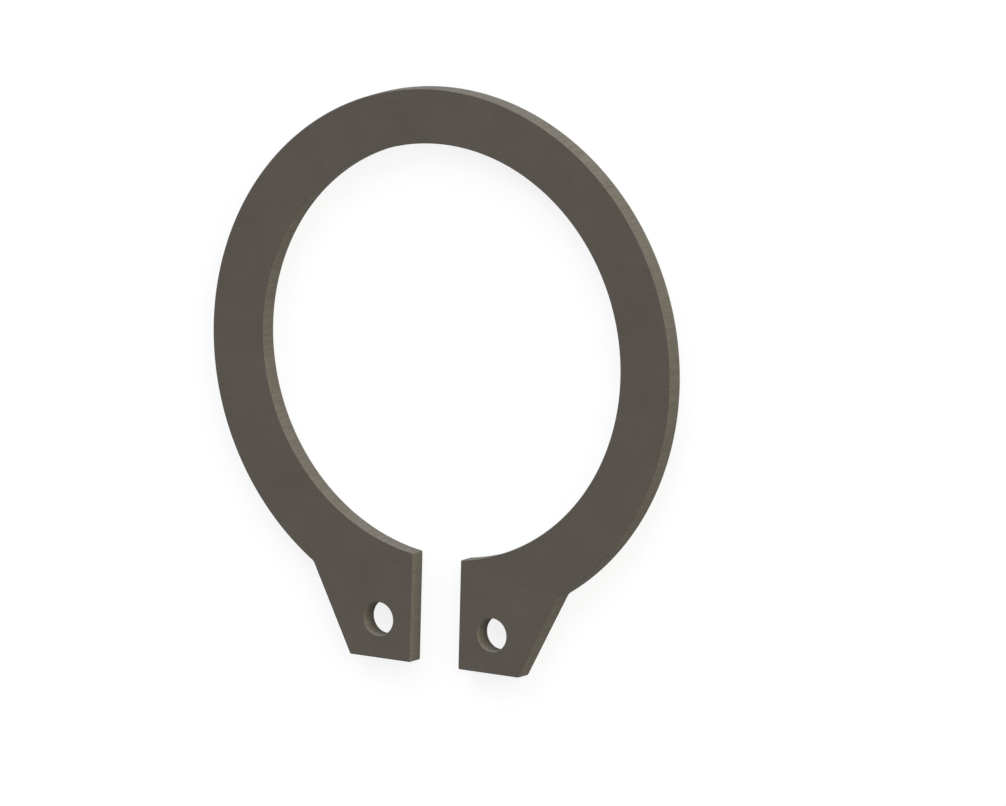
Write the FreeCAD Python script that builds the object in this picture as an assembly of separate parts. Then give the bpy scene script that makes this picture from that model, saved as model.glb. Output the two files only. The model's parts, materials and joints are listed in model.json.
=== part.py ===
import FreeCAD, Part
import math
import os

# External snap ring for a one inch (25.4 mm) shaft, stamped in one piece from spring steel strip.
# It lies flat: its lower face is on the XY plane, the bore's axis is Z, and the gap with the two
# plier lugs points to -Y. Lengths are in millimetres, for the relaxed ring off its shaft.

# Body
bore_diameter = 23.50  # inner edge of the relaxed ring
crown_width = 3.10  # radial width opposite the gap
heel_width = 3.52  # radial width that the rim's circle reaches on the lugs' side
strip_thickness = 1.07

# Gap and lugs
gap_width = 3.15
lug_height = 6.10  # from the lowest point of the bore's circle to a lug's foot
foot_width = 3.97  # from the gap face to the flank
flank_start_angle = 32.6  # degrees from the centreline to a flank's start, about the rim's centre

# Plier holes, each placed by the wall it leaves to the gap face and to the foot
plier_hole_diameter = 1.88
hole_to_gap_wall = 1.22
hole_to_foot_wall = 1.27

# Edges as the die shears them and tumbling leaves them
corner_radius = 0.10  # convex corners of the outline
flank_root_radius = 0.50  # hollow corners where the flanks leave the rim
sheared_edge_radius = 0.05  # upper face, the sharp side
die_roll_radius = 0.08  # lower face, the rounded side

SAME_PLACE = 1e-6  # two places closer than this are one

bore_radius = bore_diameter / 2
rim_radius = bore_radius + (crown_width + heel_width) / 2
rim_centre_y = (crown_width - heel_width) / 2
half_gap = gap_width / 2
foot_y = -(bore_radius + lug_height)
hole_radius = plier_hole_diameter / 2
hole_x = half_gap + hole_to_gap_wall + hole_radius
hole_y = foot_y + hole_to_foot_wall + hole_radius


def place(x, y):
    return FreeCAD.Vector(x, y, 0)


def mirrored(spot):
    """The same place on the other side of the centreline."""
    return place(-spot.x, spot.y)


# Corners of the right half, and where the two circles cross the centreline
bore_corner = place(half_gap, -math.sqrt(bore_radius**2 - half_gap**2))
foot_inner = place(half_gap, foot_y)
foot_outer = place(half_gap + foot_width, foot_y)
flank_start = place(
    rim_radius * math.sin(math.radians(flank_start_angle)),
    rim_centre_y - rim_radius * math.cos(math.radians(flank_start_angle)),
)
rim_crown = place(0, rim_centre_y + rim_radius)
bore_crown = place(0, bore_radius)


def straight_sides(corners):
    return [Part.makeLine(start, end) for start, end in zip(corners, corners[1:])]


def outline():
    """The closed outline, counter-clockwise from the right-hand corner of the bore."""
    right_lug = [bore_corner, foot_inner, foot_outer, flank_start]
    left_lug = [mirrored(corner) for corner in reversed(right_lug)]
    rim = Part.Arc(flank_start, rim_crown, mirrored(flank_start)).toShape()
    bore = Part.Arc(mirrored(bore_corner), bore_crown, bore_corner).toShape()
    return Part.Wire(straight_sides(right_lug) + [rim] + straight_sides(left_lug) + [bore])


def round_corners(blank, corners, radius):
    """Rounds the upright edges on these corners of the right half, and their mirror images."""
    half_way_up = FreeCAD.Vector(0, 0, strip_thickness / 2)
    middles = [corner + half_way_up for corner in corners + [mirrored(corner) for corner in corners]]
    edges = [
        edge
        for edge in blank.Edges
        if any(edge.CenterOfMass.distanceToPoint(middle) < SAME_PLACE for middle in middles)
    ]
    return blank.makeFillet(radius, edges)


def punch_plier_holes(blank):
    """Cuts one round hole through each lug, for the tips of the pliers."""
    for side in (-1, 1):
        blank = blank.cut(Part.makeCylinder(hole_radius, strip_thickness, place(side * hole_x, hole_y)))
    return blank


def round_face(solid, height, radius):
    """Rounds every edge of the flat face at this height, the holes' edges too."""
    edges = [
        edge
        for edge in solid.Edges
        if max(abs(edge.BoundBox.ZMin - height), abs(edge.BoundBox.ZMax - height)) < SAME_PLACE
    ]
    return solid.makeFillet(radius, edges)


def snap_ring():
    ring = Part.Face(outline()).extrude(FreeCAD.Vector(0, 0, strip_thickness))
    ring = round_corners(ring, [flank_start], flank_root_radius)
    ring = round_corners(ring, [bore_corner, foot_inner, foot_outer], corner_radius)
    ring = punch_plier_holes(ring)
    ring = round_face(ring, 0, die_roll_radius)
    return round_face(ring, strip_thickness, sheared_edge_radius)


os.makedirs("parts", exist_ok=True)
snap_ring().exportStep("parts/snap_ring.step")
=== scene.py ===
import json
import logging
import math
from dataclasses import dataclass, field
from enum import Enum

import bpy
import numpy as np
from mathutils import Matrix, Vector

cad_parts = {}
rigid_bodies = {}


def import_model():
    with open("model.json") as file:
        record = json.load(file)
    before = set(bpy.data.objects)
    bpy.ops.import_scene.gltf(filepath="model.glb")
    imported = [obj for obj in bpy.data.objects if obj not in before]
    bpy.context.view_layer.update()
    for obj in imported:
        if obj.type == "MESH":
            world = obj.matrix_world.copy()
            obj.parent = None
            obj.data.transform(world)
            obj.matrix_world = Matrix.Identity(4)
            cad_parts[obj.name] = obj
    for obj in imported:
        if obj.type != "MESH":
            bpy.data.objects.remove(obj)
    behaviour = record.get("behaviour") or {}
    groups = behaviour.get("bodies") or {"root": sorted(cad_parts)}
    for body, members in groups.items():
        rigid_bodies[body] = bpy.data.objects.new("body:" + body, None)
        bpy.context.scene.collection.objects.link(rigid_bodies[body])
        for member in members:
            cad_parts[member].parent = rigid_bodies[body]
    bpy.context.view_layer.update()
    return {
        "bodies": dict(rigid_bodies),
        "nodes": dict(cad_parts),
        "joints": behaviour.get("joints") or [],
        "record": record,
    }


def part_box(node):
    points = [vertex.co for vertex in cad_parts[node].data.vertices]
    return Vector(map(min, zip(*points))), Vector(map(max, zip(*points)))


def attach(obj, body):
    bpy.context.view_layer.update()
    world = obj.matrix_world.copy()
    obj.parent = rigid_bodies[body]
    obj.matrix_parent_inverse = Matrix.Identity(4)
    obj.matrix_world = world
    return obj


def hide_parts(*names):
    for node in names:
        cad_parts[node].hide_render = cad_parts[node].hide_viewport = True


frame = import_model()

# An external snap ring for a shaft: one stamping of spring steel strip with a phosphate coat. It
# lies on a pale studio floor and the camera looks down on it. Lengths are in metres, in the
# part's own frame: the lower face is on z = 0, the bore's axis is Z, and the gap with the two
# plier lugs points to -Y.

MM = 0.001
PIECE = "phosphated_ring"
NODE = "snap_ring"
BODY = "root"
SHAFT_MOUNT = "shaft_seat"
RIGHT_HOLE_MOUNT = "plier_hole_right"
WALL = "wall"  # the attribute that says how far a point of the skin is from facing up or down
COLOUR_A, COLOUR_B, COLOUR_RESULT = 6, 7, 2  # a Mix node's sockets for colours
MIDDLE = 0.5  # of a pattern's range, and of the wall attribute's on a rounding

log = logging.getLogger(PIECE)


class Turn(Enum):
    """Which way a round stretch of the outline bends, with the steel on its left."""

    LEFT = 1
    RIGHT = -1


class Facing(Enum):
    """Which way a level patch of the skin looks."""

    UP = 1
    DOWN = -1


def linear(colour: str) -> tuple[float, ...]:
    """An sRGB hex colour as the linear colour that shaders take.

    A channel c becomes c / 12.92 up to 0.04045, and ((c + 0.055) / 1.055) to the power 2.4
    above it.

    Args:
        colour: six hex digits after a hash.

    Returns:
        Red, green, blue, and an alpha of 1.
    """
    channels = np.array([int(colour[start : start + 2], 16) for start in (1, 3, 5)]) / 255
    curved = np.where(channels <= 0.04045, channels / 12.92, ((channels + 0.055) / 1.055) ** 2.4)
    return (*curved.tolist(), 1.0)


def unit(direction: np.ndarray) -> np.ndarray:
    """A direction divided by its own length."""
    return direction / np.linalg.norm(direction)


def right_of(direction: np.ndarray) -> np.ndarray:
    """A flat direction turned a quarter turn clockwise, which is (y, -x)."""
    return np.array([direction[1], -direction[0]])


def add_node(
    tree: bpy.types.NodeTree, kind: str, settings: dict | None = None, inputs: dict | None = None
) -> bpy.types.Node:
    """Adds one node.

    Args:
        tree: the node tree.
        kind: the node's type.
        settings: the node's own properties, by name.
        inputs: by socket name or number, a value to set or another node's output to link.

    Returns:
        The node.
    """
    node = tree.nodes.new(kind)
    for name, value in (settings or {}).items():
        setattr(node, name, value)
    for name, value in (inputs or {}).items():
        if isinstance(value, bpy.types.NodeSocket):
            tree.links.new(value, node.inputs[name])
        else:
            node.inputs[name].default_value = value
    return node


def empty_tree(owner: bpy.types.Material | bpy.types.World) -> bpy.types.NodeTree:
    """Switches on the owner's node tree and clears it.

    Args:
        owner: a material or the world.

    Returns:
        The tree.
    """
    owner.use_nodes = True
    owner.node_tree.nodes.clear()
    return owner.node_tree


def link_object(name: str, data: bpy.types.ID) -> bpy.types.Object:
    """Puts a new object into the scene, at the origin.

    Args:
        name: its name.
        data: its mesh, lamp or camera.

    Returns:
        The object.
    """
    made = bpy.data.objects.new(name, data)
    bpy.context.scene.collection.objects.link(made)
    return made


@dataclass(frozen=True)
class RingSizes:
    """Sizes of the ring's right-hand half, which its left-hand half mirrors.

    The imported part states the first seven. The others are the stamping's own.
    """

    bore_radius: float
    rim_radius: float
    rim_centre: np.ndarray
    foot_y: float
    thickness: float
    hole_centre: np.ndarray
    hole_radius: float
    half_gap: float = 3.15 * MM / 2
    foot_width: float = 3.97 * MM
    flank_start_angle: float = math.radians(32.6)  # from -Y, about the rim's centre
    corner_radius: float = 0.10 * MM
    flank_root_radius: float = 0.50 * MM
    sheared_edge_radius: float = 0.05 * MM
    die_roll_radius: float = 0.08 * MM

    @classmethod
    def from_frame(cls, packed: dict) -> "RingSizes":
        """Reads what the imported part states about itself.

        The rim's circle reaches the box's two sides and its far end, so it is half as wide as
        the box, and its centre lies that far from the far end.


        Returns:
            The ring's sizes.
        """
        low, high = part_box(NODE)
        mounts = {mount["name"]: mount for mount in packed["record"]["mounts"]}
        seat, hole = mounts[SHAFT_MOUNT], mounts[RIGHT_HOLE_MOUNT]
        rim_radius = (high[0] - low[0]) / 2
        return cls(
            bore_radius=seat["dims"]["r_mm"] * MM,
            rim_radius=rim_radius,
            rim_centre=np.array([0.0, high[1] - rim_radius]),
            foot_y=low[1],
            thickness=high[2] - low[2],
            hole_centre=np.array(hole["pos_m"][:2]),
            hole_radius=hole["dims"]["r_mm"] * MM,
        )


@dataclass(frozen=True)
class Edge:
    """Places along an edge of the stamping, as rows of x and y, and the outward normal at each."""

    places: np.ndarray
    normals: np.ndarray

    def then(self, *others: "Edge") -> "Edge":
        """One edge through this edge's places and then through the others', in order."""
        places, normals = zip(*((edge.places, edge.normals) for edge in (self, *others)))
        return Edge(np.vstack(places), np.vstack(normals))

    def inset(self, distance: float) -> np.ndarray:
        """The places moved this far into the steel, against their normals."""
        return self.places - distance * self.normals


@dataclass(frozen=True)
class Straight:
    """A straight stretch of the outline, with the steel on its left."""

    start: np.ndarray
    end: np.ndarray

    def length(self) -> float:
        """Its length."""
        return float(np.linalg.norm(self.end - self.start))

    def sample(self, count: int) -> Edge:
        """Places along the stretch, without its end.

        A place is the start plus an equal share of the way. The normal is to the right of it.

        Args:
            count: how many places.

        Returns:
            The places and their normals.
        """
        shares = np.arange(count)[:, None] / count
        normal = right_of(unit(self.end - self.start))
        return Edge(self.start + shares * (self.end - self.start), np.tile(normal, (count, 1)))


@dataclass(frozen=True)
class Round:
    """A round stretch of the outline, with the steel on its left."""

    centre: np.ndarray
    start: np.ndarray
    end: np.ndarray
    turn: Turn

    def sweep(self) -> tuple[float, float]:
        """The angle at its start, and the signed angle that it runs through."""
        first, last = (math.atan2(*(spot - self.centre)[::-1]) for spot in (self.start, self.end))
        return first, (last - first) * self.turn.value % math.tau * self.turn.value

    def radius(self) -> float:
        """Its radius."""
        return float(np.linalg.norm(self.start - self.centre))

    def length(self) -> float:
        """Its length."""
        return abs(self.sweep()[1]) * self.radius()

    def sample(self, count: int) -> Edge:
        """Places along the stretch, without its end.

        A place is the centre plus the radius times the cosine and sine of an angle that changes
        in equal steps. The normal is that cosine and sine, turned inwards if it bends right.

        Args:
            count: how many places.

        Returns:
            The places and their normals.
        """
        first, sweep = self.sweep()
        angles = first + sweep * np.arange(count) / count
        directions = np.column_stack([np.cos(angles), np.sin(angles)])
        return Edge(self.centre + self.radius() * directions, directions * self.turn.value)


@dataclass(frozen=True)
class HalfOutline:
    """Outline of the right-hand half: from the bore's crown, round the lug, to the rim's crown."""

    sizes: RingSizes

    def bore(self) -> Round:
        """The bore's edge.

        Returns:
            The stretch from the bore's crown down to the rounded corner at the gap.
        """
        crown = np.array([0.0, self.sizes.bore_radius])
        on_bore = unit(self.gap_corner_centre()) * self.sizes.bore_radius
        return Round(np.zeros(2), crown, on_bore, Turn.RIGHT)

    def rim(self) -> Round:
        """The rim's edge.

        Returns:
            The stretch from the hollow beside the lug up to the rim's crown.
        """
        centre, radius = self.sizes.rim_centre, self.sizes.rim_radius
        on_rim = centre + unit(self.root_centre() - centre) * radius
        return Round(centre, on_rim, centre + np.array([0.0, radius]), Turn.LEFT)

    def lug(self) -> list[Straight | Round]:
        """The lug's edge: gap face, foot and flank, with the rounding at each of their ends.

        The centre of the rounding between foot and flank lies one corner radius from both, so
        it is (1 + the flank normal's y) / (the flank normal's x) radii inside the sharp corner.

        Returns:
            The stretches in order.
        """
        sizes, radius = self.sizes, self.sizes.corner_radius
        outwards = right_of(self.flank_direction())
        left, down = np.array([-radius, 0.0]), np.array([0.0, -radius])
        top, root = self.gap_corner_centre(), self.root_centre()
        inner = np.array([sizes.half_gap, sizes.foot_y]) + radius
        outer = self.foot_corner() + radius * np.array([-(1 + outwards[1]) / outwards[0], 1])
        low_flank = outer + radius * outwards
        high_flank = root - sizes.flank_root_radius * outwards
        return [
            Round(top, self.bore().end, top + left, Turn.LEFT),
            Straight(top + left, inner + left),
            Round(inner, inner + left, inner + down, Turn.LEFT),
            Straight(inner + down, outer + down),
            Round(outer, outer + down, low_flank, Turn.LEFT),
            Straight(low_flank, high_flank),
            Round(root, high_flank, self.rim().start, Turn.RIGHT),
        ]

    def foot_corner(self) -> np.ndarray:
        """The sharp corner where the foot and the flank would meet."""
        return np.array([self.sizes.half_gap + self.sizes.foot_width, self.sizes.foot_y])

    def flank_direction(self) -> np.ndarray:
        """The flank's direction.

        It runs from the foot's corner to where the sharp flank would meet the rim's circle.

        Returns:
            The direction, of length 1.
        """
        sizes, angle = self.sizes, self.sizes.flank_start_angle
        from_centre = np.array([math.sin(angle), -math.cos(angle)])
        return unit(sizes.rim_centre + sizes.rim_radius * from_centre - self.foot_corner())

    def gap_corner_centre(self) -> np.ndarray:
        """Centre of the rounding between the bore and the gap face.

        It lies one corner radius to the right of the gap face and one outside the bore's circle,
        so its y is minus the root of that distance squared less its x squared.

        Returns:
            The centre.
        """
        across = self.sizes.half_gap + self.sizes.corner_radius
        reach = self.sizes.bore_radius + self.sizes.corner_radius
        return np.array([across, -math.sqrt(reach**2 - across**2)])

    def root_centre(self) -> np.ndarray:
        """Centre of the hollow rounding between the flank and the rim.

        It lies on the line that runs one root radius outside the flank. Of the two places there
        that are one root radius outside the rim's circle, it is the lower one.

        Returns:
            The centre.
        """
        sizes, upwards = self.sizes, self.flank_direction()
        beside = self.foot_corner() + sizes.flank_root_radius * right_of(upwards)
        start = beside - sizes.rim_centre
        along = start @ upwards
        reach = sizes.rim_radius + sizes.flank_root_radius
        travel = -along - math.sqrt(along**2 - start @ start + reach**2)
        return beside + travel * upwards


@dataclass(frozen=True)
class Section:
    """Section across the strip's thickness, which every edge of the stamping shares.

    Each row has one point's distance outwards from the outline, its height, and the two
    components of its normal, outwards and upwards.
    """

    rows: np.ndarray

    @classmethod
    def of_strip(cls, sizes: RingSizes, round_steps: int = 6, wall_steps: int = 12) -> "Section":
        """The section from the upper face over the sharp edge, down the wall, round the die roll.

        Args:
            sizes: the ring's sizes.
            round_steps: steps over each of the two roundings.
            wall_steps: steps down the straight wall.

        Returns:
            The section.
        """
        quarter = np.linspace(math.pi / 2, 0, round_steps + 1)
        sharp, rolled = sizes.sheared_edge_radius, sizes.die_roll_radius
        above = cls.rounding(sharp, sizes.thickness - sharp, quarter)
        below = cls.rounding(rolled, rolled, quarter - math.pi / 2)
        shares = np.linspace(0, 1, wall_steps + 1)[1:-1, None]
        wall = above[-1] + shares * (below[0] - above[-1])
        return cls(np.vstack([above, wall, below]))

    @staticmethod
    def rounding(radius: float, height: float, angles: np.ndarray) -> np.ndarray:
        """Rows of a rounding whose centre lies one radius inside the outline.

        A point is the centre plus the radius times the angle's cosine and sine, and its normal
        is that cosine and sine.

        Args:
            radius: the rounding's radius.
            height: its centre's height.
            angles: from a quarter turn, which faces up, to minus a quarter turn.

        Returns:
            The rows.
        """
        outwards, upwards = np.cos(angles), np.sin(angles)
        columns = [radius * (outwards - 1), height + radius * upwards, outwards, upwards]
        return np.column_stack(columns)

    def carried(self, edge: Edge) -> tuple[np.ndarray, np.ndarray]:
        """The section carried along an edge.

        A point is the edge's place plus its normal times the row's distance outwards, at the
        row's height. Its normal has the row's two components along the edge's normal and Z.

        Args:
            edge: the path.

        Returns:
            Points and normals, as grids of places by rows by three.
        """
        distance, height, outwards, upwards = self.rows.T[:, None, :, None]
        across = edge.normals[:, None, :]
        spots = edge.places[:, None, :] + across * distance
        leans = across * outwards
        heights = np.broadcast_to(height, (*spots.shape[:2], 1))
        rises = np.broadcast_to(upwards, heights.shape)
        return np.concatenate([spots, heights], axis=2), np.concatenate([leans, rises], axis=2)


@dataclass
class Skin:
    """Grids of points that together close the surface of the steel."""

    points: list[np.ndarray] = field(default_factory=list)
    normals: list[np.ndarray] = field(default_factory=list)
    quads: list[np.ndarray] = field(default_factory=list)

    def add(self, points: np.ndarray, normals: np.ndarray) -> None:
        """Takes in a grid and its mirror image on the other side of the centreline.

        Args:
            points: a grid of rows by columns by three.
            normals: the outward normal at each point.
        """
        rows, columns = points.shape[:2]
        for mirror in (np.array([1, 1, 1]), np.array([-1, 1, 1])):
            first = sum(map(len, self.points))
            index = first + np.arange(rows * columns).reshape(rows, columns)
            corners = [index[:-1, :-1], index[1:, :-1], index[1:, 1:], index[:-1, 1:]]
            self.quads.append(np.stack(corners, axis=-1).reshape(-1, 4))
            self.points.append((points * mirror).reshape(-1, 3))
            self.normals.append((normals * mirror).reshape(-1, 3))

    def add_level(
        self, inner: np.ndarray, outer: np.ndarray, steps: int, height: float, facing: Facing
    ) -> None:
        """Takes in a level patch between two edges, and its mirror image.

        A point is the inner place plus an equal share of the way to the outer one.

        Args:
            inner: places along one edge.
            outer: as many places along the other.
            steps: steps from one edge to the other.
            height: the patch's height.
            facing: which way it looks.
        """
        shares = np.linspace(0, 1, steps + 1)[None, :, None]
        spots = inner[:, None, :] + shares * (outer - inner)[:, None, :]
        points = np.concatenate([spots, np.full((*spots.shape[:2], 1), height)], axis=2)
        self.add(points, np.broadcast_to((0.0, 0.0, float(facing.value)), points.shape))

    def welded(self, same_place: float = 1e-8) -> tuple[np.ndarray, np.ndarray, np.ndarray]:
        """Joins points that lie in one place, and turns every face outwards.

        A face is turned over where the cross product of its diagonals points against the sum of
        its corners' normals.

        Args:
            same_place: side of the cells, in metres, within which two points are one.

        Returns:
            Points, their normals, and the four corners of each face.
        """
        cells = np.round(np.vstack(self.points) / same_place).astype(np.int64)
        _, first, merged = np.unique(cells, axis=0, return_index=True, return_inverse=True)
        points, normals = np.vstack(self.points)[first], np.vstack(self.normals)[first]
        quads = merged.reshape(-1)[np.vstack(self.quads)]
        corners = points[quads]
        facing = np.cross(corners[:, 2] - corners[:, 0], corners[:, 3] - corners[:, 1])
        turned = np.einsum("ij,ij->i", facing, normals[quads].sum(axis=1)) < 0
        quads[turned] = quads[turned, ::-1]
        return points, normals, quads


@dataclass(frozen=True)
class Pattern:
    """Cloudy noise whose blots have a real size along each axis."""

    blot: tuple[float, float, float]
    detail: float

    def add(self, tree: bpy.types.NodeTree) -> bpy.types.NodeSocket:
        """Adds the pattern to a material.

        The noise is read at the Object coordinates, each divided by the blot's size along it.

        Args:
            tree: the material's node tree.

        Returns:
            A value around a half.
        """
        place = add_node(tree, "ShaderNodeTexCoord").outputs["Object"]
        repeats = tuple(1 / size for size in self.blot)
        cell = add_node(tree, "ShaderNodeMapping", inputs={"Vector": place, "Scale": repeats})
        noise = {"Vector": cell.outputs["Vector"], "Scale": 1.0, "Detail": self.detail}
        return add_node(tree, "ShaderNodeTexNoise", inputs=noise).outputs["Fac"]


@dataclass(frozen=True)
class Surface:
    """One kind of steel surface under the coat.

    It has the darkest and the lightest colour that the coat shows on it, and the lines that its
    making left. The shares say how much of its look is lines and how much is oil.
    """

    dark: str
    light: str
    lines: Pattern
    line_share: float
    oil_share: float
    contrast: float = 0.30  # noise this wide about a half spans the two colours

    def add(
        self, tree: bpy.types.NodeTree, crystals: bpy.types.NodeSocket, oil: bpy.types.NodeSocket
    ) -> tuple[bpy.types.NodeSocket, bpy.types.NodeSocket]:
        """Adds the surface to a material.

        Args:
            tree: the material's node tree.
            crystals: the pattern of the phosphate's crystals.
            oil: the pattern of the oil.

        Returns:
            Its colour, and its relief around a half.
        """
        grain = {"Factor": self.line_share, "A": crystals, "B": self.lines.add(tree)}
        relief = add_node(tree, "ShaderNodeMix", inputs=grain).outputs["Result"]
        film = {"Factor": self.oil_share, "A": relief, "B": oil}
        tone = add_node(tree, "ShaderNodeMix", inputs=film).outputs["Result"]
        low, high = MIDDLE - self.contrast / 2, MIDDLE + self.contrast / 2
        spread = {"Value": tone, "From Min": low, "From Max": high}
        share = add_node(tree, "ShaderNodeMapRange", inputs=spread).outputs["Result"]
        coat = {"Factor": share, COLOUR_A: linear(self.dark), COLOUR_B: linear(self.light)}
        mixed = add_node(tree, "ShaderNodeMix", {"data_type": "RGBA"}, coat)
        return mixed.outputs[COLOUR_RESULT], relief


@dataclass(frozen=True)
class PhosphatedSteel:
    """Spring steel with an oiled phosphate coat: a matt grey-brown layer of fine crystals.

    The rolled faces are even, with the strip's faint rolling lines under the coat. The walls
    were sheared, so fine lines run through their thickness; their colour is lighter and warmer
    than the faces', partly painted light from the side. Tumbling has polished the edges.
    Phosphate crystals are about 0.02 mm, rolling lines 0.05 mm and sheared lines 0.05 mm, too
    fine to show, so they are drawn at 0.12 mm, 0.20 mm and 0.16 mm, two to four pixels.
    """

    rolled: Surface = Surface(
        dark="#463F37",
        light="#504A43",
        lines=Pattern((9.0 * MM, 0.20 * MM, 9.0 * MM), detail=2.0),
        line_share=0.25,
        oil_share=0.40,
    )
    # The walls' colours are lighter and warmer than the faces'. Part of that is the sheared steel;
    # part is painted light that stands in for the side light brightening the walls.
    sheared_and_lit: Surface = Surface(
        dark="#514C44",
        light="#666157",
        lines=Pattern((0.16 * MM, 0.16 * MM, 2.4 * MM), detail=3.0),
        line_share=0.55,
        oil_share=0.20,
    )
    polished_edge: str = "#7A746A"  # the coat worn thin, with the steel showing through
    edge_polish: float = 0.16  # share of that colour at a rounding's middle
    crystals: Pattern = Pattern((0.12 * MM, 0.12 * MM, 0.12 * MM), detail=3.0)
    oil: Pattern = Pattern((2.6 * MM, 2.6 * MM, 2.6 * MM), detail=2.0)
    crystal_height: float = 0.004 * MM
    oiled_roughness: float = 0.70
    dry_roughness: float = 0.82
    ior: float = 1.36  # phosphate has about 1.6; matched lower, as the rough coat shines little

    def material(self) -> bpy.types.Material:
        """The finish as a material.

        The polish rises with the wall attribute up to its middle and falls again, so only the
        rounded edges have it.

        Returns:
            A material for a mesh with the wall attribute.
        """
        material = bpy.data.materials.new("phosphated_spring_steel")
        tree = empty_tree(material)
        wall = add_node(tree, "ShaderNodeAttribute", {"attribute_name": WALL}).outputs["Fac"]
        crystals, oil = self.crystals.add(tree), self.oil.add(tree)
        face_colour, face_relief = self.rolled.add(tree, crystals, oil)
        wall_colour, wall_relief = self.sheared_and_lit.add(tree, crystals, oil)
        sides = {"Factor": wall, COLOUR_A: face_colour, COLOUR_B: wall_colour}
        coat = add_node(tree, "ShaderNodeMix", {"data_type": "RGBA"}, sides)
        rise = add_node(tree, "ShaderNodeMath", {"operation": "PINGPONG"}, {0: wall, 1: MIDDLE})
        scaled = {0: rise.outputs[0], 1: self.edge_polish / MIDDLE}
        polish = add_node(tree, "ShaderNodeMath", {"operation": "MULTIPLY"}, scaled)
        worn = {
            "Factor": polish.outputs[0],
            COLOUR_A: coat.outputs[COLOUR_RESULT],
            COLOUR_B: linear(self.polished_edge),
        }
        colour = add_node(tree, "ShaderNodeMix", {"data_type": "RGBA"}, worn)
        reliefs = {"Factor": wall, "A": face_relief, "B": wall_relief}
        relief = add_node(tree, "ShaderNodeMix", inputs=reliefs).outputs["Result"]
        bumps = {"Height": relief, "Distance": self.crystal_height}
        bump = add_node(tree, "ShaderNodeBump", inputs=bumps)
        gloss = {"Factor": oil, "A": self.oiled_roughness, "B": self.dry_roughness}
        roughness = add_node(tree, "ShaderNodeMix", inputs=gloss)
        shading = {
            "Base Color": colour.outputs[COLOUR_RESULT],
            "Roughness": roughness.outputs["Result"],
            "IOR": self.ior,
            "Normal": bump.outputs["Normal"],
        }
        steel = add_node(tree, "ShaderNodeBsdfPrincipled", inputs=shading)
        add_node(tree, "ShaderNodeOutputMaterial", inputs={"Surface": steel.outputs["BSDF"]})
        return material


@dataclass(frozen=True)
class SnapRing:
    """The ring: its sizes, its finish, and how finely its skin is divided."""

    sizes: RingSizes
    finish: PhosphatedSteel = PhosphatedSteel()
    step: float = 0.20 * MM  # the longest along the outline
    fewest: int = 8  # steps on one stretch of the lug's edge
    body_steps: int = 16  # from the bore to the rim
    lug_steps: int = 12  # from the plier hole out to the lug's edge

    def lug_edge(self, outline: HalfOutline) -> Edge:
        """The lug's edge, with places no further apart than one step.

        Args:
            outline: the half outline.

        Returns:
            The edge, without its end on the rim.
        """
        stretches = outline.lug()
        counts = [max(self.fewest, math.ceil(part.length() / self.step)) for part in stretches]
        samples = [part.sample(count) for part, count in zip(stretches, counts)]
        return samples[0].then(*samples[1:])

    def hole_edge(self, loop: np.ndarray) -> Edge:
        """The plier hole's edge, with one place towards each place of a loop round it.

        Args:
            loop: places round the hole.

        Returns:
            The edge, with normals that point into the hole.
        """
        spokes = loop - self.sizes.hole_centre
        directions = spokes / np.linalg.norm(spokes, axis=1)[:, None]
        return Edge(self.sizes.hole_centre + self.sizes.hole_radius * directions, -directions)

    def skin(self) -> Skin:
        """The ring's closed skin.

        The section is carried along the outline and round the plier hole. Each level face has
        two patches: the body, from the bore's edge to the rim's, and the lug, from the plier
        hole out to a loop of the lug's edge and the line where the body ends.

        Returns:
            The skin of both halves.
        """
        sizes, outline, skin = self.sizes, HalfOutline(self.sizes), Skin()
        section = Section.of_strip(sizes)
        count = math.ceil(outline.rim().length() / self.step)
        bore, rim = outline.bore().sample(count), outline.rim().sample(count)
        lug = self.lug_edge(outline)
        crown = Edge(outline.rim().end[None, :], np.array([[0.0, 1.0]]))
        bore_whole = bore.then(Edge(lug.places[:1], lug.normals[:1]))
        rim_whole = rim.then(crown)
        across = np.linspace(0, 1, self.body_steps + 1)[:, None]
        body_end = rim.places[0] + across * (lug.places[0] - rim.places[0])
        hole = self.hole_edge(np.vstack([lug.places, body_end]))
        skin.add(*section.carried(bore.then(lug, rim_whole)))
        skin.add(*section.carried(hole))
        for height, inset, facing in (
            (sizes.thickness, sizes.sheared_edge_radius, Facing.UP),
            (0.0, sizes.die_roll_radius, Facing.DOWN),
        ):
            inner, outer = bore_whole.inset(inset), rim_whole.inset(inset)[::-1]
            skin.add_level(inner, outer, self.body_steps, height, facing)
            loop = np.vstack([lug.inset(inset), outer[-1] + across * (inner[-1] - outer[-1])])
            skin.add_level(hole.inset(inset), loop, self.lug_steps, height, facing)
        return skin

    def build(self) -> bpy.types.Object:
        """Makes, dresses and places the ring.

        The skin's normals are exact, so the mesh keeps them. The wall attribute is the length of
        a normal's level part: 0 on the faces, 1 on the walls, and in between on the roundings.

        Returns:
            The object, at the origin.
        """
        points, normals, quads = self.skin().welded()
        mesh = bpy.data.meshes.new(PIECE)
        mesh.from_pydata(points.tolist(), [], quads.tolist())
        wall = mesh.attributes.new(WALL, "FLOAT", "POINT")
        wall.data.foreach_set("value", np.linalg.norm(normals[:, :2], axis=1))
        mesh.shade_smooth()
        mesh.normals_split_custom_set_from_vertices(normals.tolist())
        mesh.materials.append(self.finish.material())
        ring = link_object(PIECE, mesh)
        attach(ring, BODY)
        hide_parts(NODE)
        return ring


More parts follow.
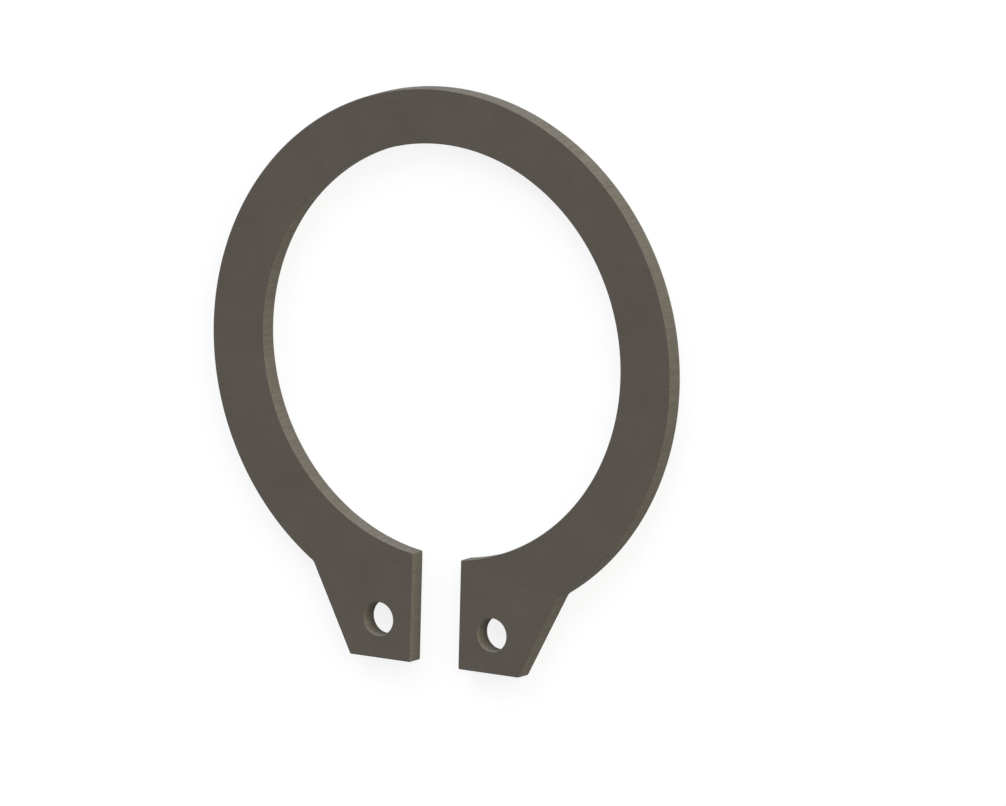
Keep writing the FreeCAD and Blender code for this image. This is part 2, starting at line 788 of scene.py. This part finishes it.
def looked_at(tree: bpy.types.NodeTree) -> bpy.types.NodeSocket:
    """A value that is 1 for what the camera, a reflection or a see-through surface looks at.

    Args:
        tree: a material's or the world's node tree.

    Returns:
        The larger of Light Path's three values for those rays.
    """
    path = add_node(tree, "ShaderNodeLightPath")
    larger = path.outputs["Is Camera Ray"]
    for kind in ("Is Glossy Ray", "Is Transmission Ray"):
        inputs = {0: larger, 1: path.outputs[kind]}
        larger = add_node(tree, "ShaderNodeMath", {"operation": "MAXIMUM"}, inputs).outputs[0]
    return larger


@dataclass(frozen=True)
class Floor:
    """Matt studio floor, painted grey, that looks white.

    Its paint takes light, bounces some back and shows the ring's shadow. Its glow makes it white
    where it is looked at, also as a reflection in the ring, and gives no other light.
    """

    size: float = 20.0
    paint: str = "#747474"
    glow: float = 0.85

    def add(self) -> bpy.types.Object:
        """Lays the floor under the ring.

        Returns:
            The floor's object.
        """
        corners = np.array([(-1, -1, 0), (1, -1, 0), (1, 1, 0), (-1, 1, 0)]) * self.size / 2
        mesh = bpy.data.meshes.new("floor")
        mesh.from_pydata(corners.tolist(), [], [(0, 1, 2, 3)])
        mesh.materials.append(self.material())
        floor = link_object("floor", mesh)
        return floor

    def material(self) -> bpy.types.Material:
        """The floor's paint, with the glow added where it is looked at.

        Returns:
            The material.
        """
        material = bpy.data.materials.new("matt_floor_paint")
        tree = empty_tree(material)
        inputs = {0: looked_at(tree), 1: self.glow}
        strength = add_node(tree, "ShaderNodeMath", {"operation": "MULTIPLY"}, inputs)
        glow = add_node(tree, "ShaderNodeEmission", inputs={"Strength": strength.outputs[0]})
        paint = add_node(tree, "ShaderNodeBsdfDiffuse", inputs={"Color": linear(self.paint)})
        both = {0: glow.outputs[0], 1: paint.outputs[0]}
        added = add_node(tree, "ShaderNodeAddShader", inputs=both)
        add_node(tree, "ShaderNodeOutputMaterial", inputs={"Surface": added.outputs[0]})
        return material


@dataclass(frozen=True)
class Surround:
    """Plain studio walls: a little soft light on the ring, and white where they are looked at."""

    paint: str = "#FFFFFF"
    light: float = 0.08
    shown: float = 1.0

    def add(self) -> bpy.types.World:
        """Puts the surround round the scene.

        Returns:
            The world.
        """
        world = bpy.data.worlds.new("surround")
        tree = empty_tree(world)
        inputs = {"Value": looked_at(tree), "To Min": self.light, "To Max": self.shown}
        strength = add_node(tree, "ShaderNodeMapRange", inputs=inputs)
        plain = {"Color": linear(self.paint), "Strength": strength.outputs[0]}
        background = add_node(tree, "ShaderNodeBackground", inputs=plain)
        add_node(tree, "ShaderNodeOutputWorld", inputs={"Surface": background.outputs[0]})
        bpy.context.scene.world = world
        return world


@dataclass(frozen=True)
class SoftLamp:
    """A wide soft lamp, far away.

    Its azimuth is from +X towards +Y, and its spread is how wide it looks from the ring. A
    strength of 1 lights a surface that faces it as a white surround does.
    """

    name: str
    azimuth: float
    elevation: float
    strength: float
    spread: float = 60.0
    colour: str = "#FFFFFF"

    def add(self) -> bpy.types.Object:
        """Hangs the lamp.

        Its light comes from (cos a cos e, sin a cos e, sin e), with a and e the azimuth and the
        elevation.

        Returns:
            The lamp's object.
        """
        data = bpy.data.lights.new(self.name, "SUN")
        data.energy = self.strength * math.pi
        data.angle = math.radians(self.spread)
        data.color = linear(self.colour)[:3]
        around, above = math.radians(self.azimuth), math.radians(self.elevation)
        level = math.cos(above)
        source = Vector((math.cos(around) * level, math.sin(around) * level, math.sin(above)))
        lamp = link_object(self.name, data)
        lamp.rotation_euler = source.to_track_quat("Z", "Y").to_euler()
        return lamp


@dataclass(frozen=True)
class Camera:
    """The camera above the ring, with parallel rays, as the photograph's view has.

    In its view the ring is turned by minus the yaw about the upright axis, then by the pitch
    about the level axis and by the roll about the axis that points to the camera.
    """

    bore_radius: float
    image_width: int = 1006
    image_height: int = 806
    bore_pixels: float = 210.6  # the bore's radius in pixels, square to the view
    bore_pixel_x: float = 452.0
    bore_pixel_y: float = 349.0
    yaw: float = math.radians(31.9)
    pitch: float = math.radians(11.0)
    roll: float = math.radians(-1.4)
    distance: float = 0.3  # from the bore's centre, clear of the ring

    def axes(self) -> np.ndarray:
        """The camera's own directions.

        Returns:
            Right, up and back, which are the rows of the product of the three turns.
        """
        yaw = np.array(Matrix.Rotation(-self.yaw, 3, "Y"))
        pitch = np.array(Matrix.Rotation(self.pitch, 3, "X"))
        roll = np.array(Matrix.Rotation(self.roll, 3, "Z"))
        return roll @ pitch @ yaw

    def add(self) -> bpy.types.Object:
        """Places the camera so that the centre of the bore's lower edge is at its pixel.

        Returns:
            The camera's object.
        """
        right, up, back = self.axes()
        pixel = self.bore_radius / self.bore_pixels
        across = (self.image_width / 2 - self.bore_pixel_x) * pixel
        above = (self.bore_pixel_y - self.image_height / 2) * pixel
        data = bpy.data.cameras.new("camera")
        data.type = "ORTHO"
        data.ortho_scale = self.image_width * pixel
        camera = link_object("camera", data)
        place = Matrix.Translation(Vector(right * across + up * above + back * self.distance))
        camera.matrix_world = place @ Matrix(self.axes().T.tolist()).to_4x4()
        bpy.context.scene.camera = camera
        return camera


def main() -> None:
    """Builds the ring and then the studio, in order, and reports each piece."""
    logging.basicConfig(level=logging.INFO, format="%(name)s: %(message)s")
    sizes = RingSizes.from_frame(frame)
    ring = SnapRing(sizes).build()
    log.info("built %s with %d faces", ring.name, len(ring.data.polygons))
    studio = (
        Floor(),
        Surround(),
        SoftLamp("key", azimuth=28, elevation=18, strength=1.36, colour="#FFFDF3"),
        SoftLamp("fill", azimuth=106, elevation=18, strength=1.34, colour="#E6EDFF"),
        SoftLamp("back", azimuth=205, elevation=18, strength=0.37),
        Camera(sizes.bore_radius),
    )
    for fixture in studio:
        log.info("added %s", fixture.add().name)
    bpy.context.scene.view_settings.view_transform = "Standard"


if __name__ == "__main__":
    main()
